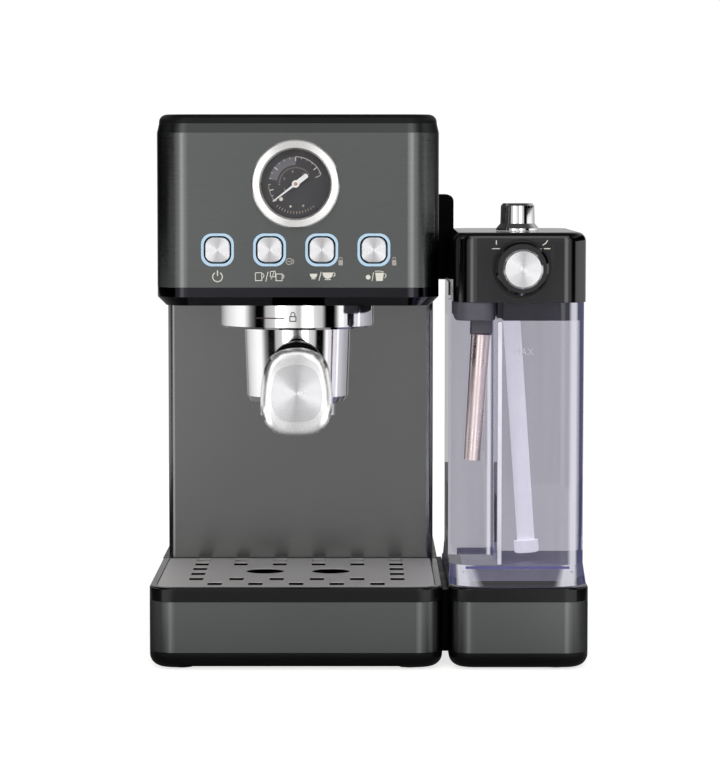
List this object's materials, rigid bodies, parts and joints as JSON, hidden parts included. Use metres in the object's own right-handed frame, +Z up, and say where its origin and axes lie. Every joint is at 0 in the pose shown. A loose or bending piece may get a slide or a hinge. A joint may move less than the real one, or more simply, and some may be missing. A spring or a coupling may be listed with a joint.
{
  "type": "espresso machine",
  "caption": "Pump espresso machine with a portafilter, pressure gauge, push buttons, pull-out drip tray and a side milk tank with a frothing lid.",
  "frame": {"origin": "middle of the whole machine's footprint, on the worktop", "axes": "+Z up, -Y towards the user, +X to the user's right; the portafilter handle points along -Y"},
  "size_m": [0.247, 0.357, 0.311],
  "materials": {
    "black_plastic": "fine moulded texture",
    "gloss_black": "polished",
    "brushed_dark": "dark brushed, grain upright",
    "brushed_steel": "brushed",
    "chrome": "polished",
    "satin_silver": "satin",
    "milk_glass": "clear, faint blue",
    "smoke_glass": "smoked",
    "lens_glass": "clear",
    "rubber": "matt",
    "aluminium": "cast",
    "circuit_board": "lacquered",
    "white_plastic": "translucent white",
    "light_ring": "translucent, lit pale blue",
    "dial_face": "satin print",
    "copper": "satin copper tone",
    "tube_steel": "polished tube"
  },
  "bodies": {
    "machine": {"base_pan": "black_plastic", "milk_base_pan": "black_plastic", "rubber_feet": "rubber", "case_screws": "brushed_steel", "rear_base_shell": "black_plastic", "rear_base_skin": "brushed_dark", "cord_gland": "rubber", "milk_base_deck": "black_plastic", "milk_base_skin": "brushed_dark", "base_bridge": "black_plastic", "splash_panel": "brushed_dark", "column_frame": "black_plastic", "tank_bay": "black_plastic", "head_floor": "gloss_black", "head_wrap": "brushed_dark", "top_trim": "brushed_dark", "top_cover": "black_plastic", "gauge_bezel": "satin_silver", "gauge_case": "black_plastic", "gauge_dial": "dial_face", "gauge_lens": "lens_glass", "button_light_rings": "light_ring", "control_board": "circuit_board", "group_ring": "chrome", "group_gasket": "rubber", "shower_screen": "brushed_steel", "boiler": "aluminium", "heating_element": "brushed_steel", "pump": "black_plastic", "water_hoses": "white_plastic", "steam_coupler": "black_plastic", "steam_seal": "rubber", "steam_pipe": "copper"},
    "drip_tray": {"drip_tray_cover": "brushed_dark", "drip_tray_pan": "black_plastic"},
    "drip_grid": {"drip_grid": "brushed_steel"},
    "portafilter": {"portafilter_bowl": "chrome", "filter_basket": "brushed_steel", "portafilter_spout": "chrome", "handle_collar": "gloss_black", "portafilter_handle": "black_plastic", "handle_cap": "satin_silver", "handle_badge": "brushed_steel"},
    "button_1": {"button_1": "satin_silver"},
    "button_2": {"button_2": "satin_silver"},
    "button_3": {"button_3": "satin_silver"},
    "button_4": {"button_4": "satin_silver"},
    "gauge_needle": {"gauge_needle": "satin_silver"},
    "milk_tank": {"milk_tank": "milk_glass"},
    "milk_lid": {"milk_lid": "gloss_black", "lid_plug": "gloss_black", "froth_chamber": "black_plastic", "milk_straw": "white_plastic"},
    "milk_spout": {"spout_connector": "gloss_black", "milk_spout": "tube_steel"},
    "froth_knob": {"froth_knob": "gloss_black", "froth_knob_cap": "chrome"},
    "spout_lever": {"spout_lever": "chrome"},
    "water_tank": {"water_tank": "smoke_glass"},
    "water_tank_lid": {"water_tank_lid": "black_plastic"}
  },
  "joints": [
    {"name": "drip_tray_slide", "type": "slide", "parent": "machine", "child": "drip_tray", "axis": [0, -1, 0], "range_m": [0, 0.14]},
    {"name": "drip_grid_lift", "type": "slide", "parent": "drip_tray", "child": "drip_grid", "axis": [0, 0, 1], "range_m": [0, 0.06]},
    {"name": "portafilter_lock", "type": "hinge", "parent": "machine", "child": "portafilter", "pos_m": [-0.041, -0.0385, 0.19], "axis": [0, 0, 1], "range_deg": [-45, 0]},
    {"name": "button_1_press", "type": "slide", "parent": "machine", "child": "button_1", "axis": [0, 1, 0], "range_m": [0, 0.0016], "stiffness_N_per_m": 700},
    {"name": "button_2_press", "type": "slide", "parent": "machine", "child": "button_2", "axis": [0, 1, 0], "range_m": [0, 0.0016], "stiffness_N_per_m": 700},
    {"name": "button_3_press", "type": "slide", "parent": "machine", "child": "button_3", "axis": [0, 1, 0], "range_m": [0, 0.0016], "stiffness_N_per_m": 700},
    {"name": "button_4_press", "type": "slide", "parent": "machine", "child": "button_4", "axis": [0, 1, 0], "range_m": [0, 0.0016], "stiffness_N_per_m": 700},
    {"name": "gauge_needle_turn", "type": "hinge", "parent": "machine", "child": "gauge_needle", "pos_m": [-0.041, -0.0865, 0.272], "axis": [0, 1, 0], "range_deg": [0, 250], "stiffness_Nm_per_rad": 0.002},
    {"name": "milk_tank_slide", "type": "slide", "parent": "machine", "child": "milk_tank", "axis": [0, -1, 0], "range_m": [0, 0.16]},
    {"name": "milk_lid_lift", "type": "slide", "parent": "milk_tank", "child": "milk_lid", "axis": [0, 0, 1], "range_m": [0, 0.16]},
    {"name": "spout_lever_turn", "type": "hinge", "parent": "milk_lid", "child": "spout_lever", "pos_m": [0.0855, -0.046, 0.245], "axis": [0, 0, 1], "range_deg": [0, 35]},
    {"name": "milk_spout_swing", "type": "hinge", "parent": "milk_lid", "child": "milk_spout", "pos_m": [0.0639, -0.072, 0.1915], "axis": [0, 1, 0], "range_deg": [0, 35]},
    {"name": "froth_knob_turn", "type": "hinge", "parent": "milk_lid", "child": "froth_knob", "pos_m": [0.0855, -0.0945, 0.225], "axis": [0, -1, 0], "range_deg": [-60, 60]},
    {"name": "water_tank_lift", "type": "slide", "parent": "machine", "child": "water_tank", "axis": [0, 0, 1], "range_m": [0, 0.25]},
    {"name": "water_tank_lid_hinge", "type": "hinge", "parent": "water_tank", "child": "water_tank_lid", "pos_m": [-0.041, 0.1208, 0.3086], "axis": [1, 0, 0], "range_deg": [0, 95]}
  ],
  "couplings": [
    {"joint": "milk_spout_swing", "follows": "spout_lever_turn", "ratio": 1}
  ]
}
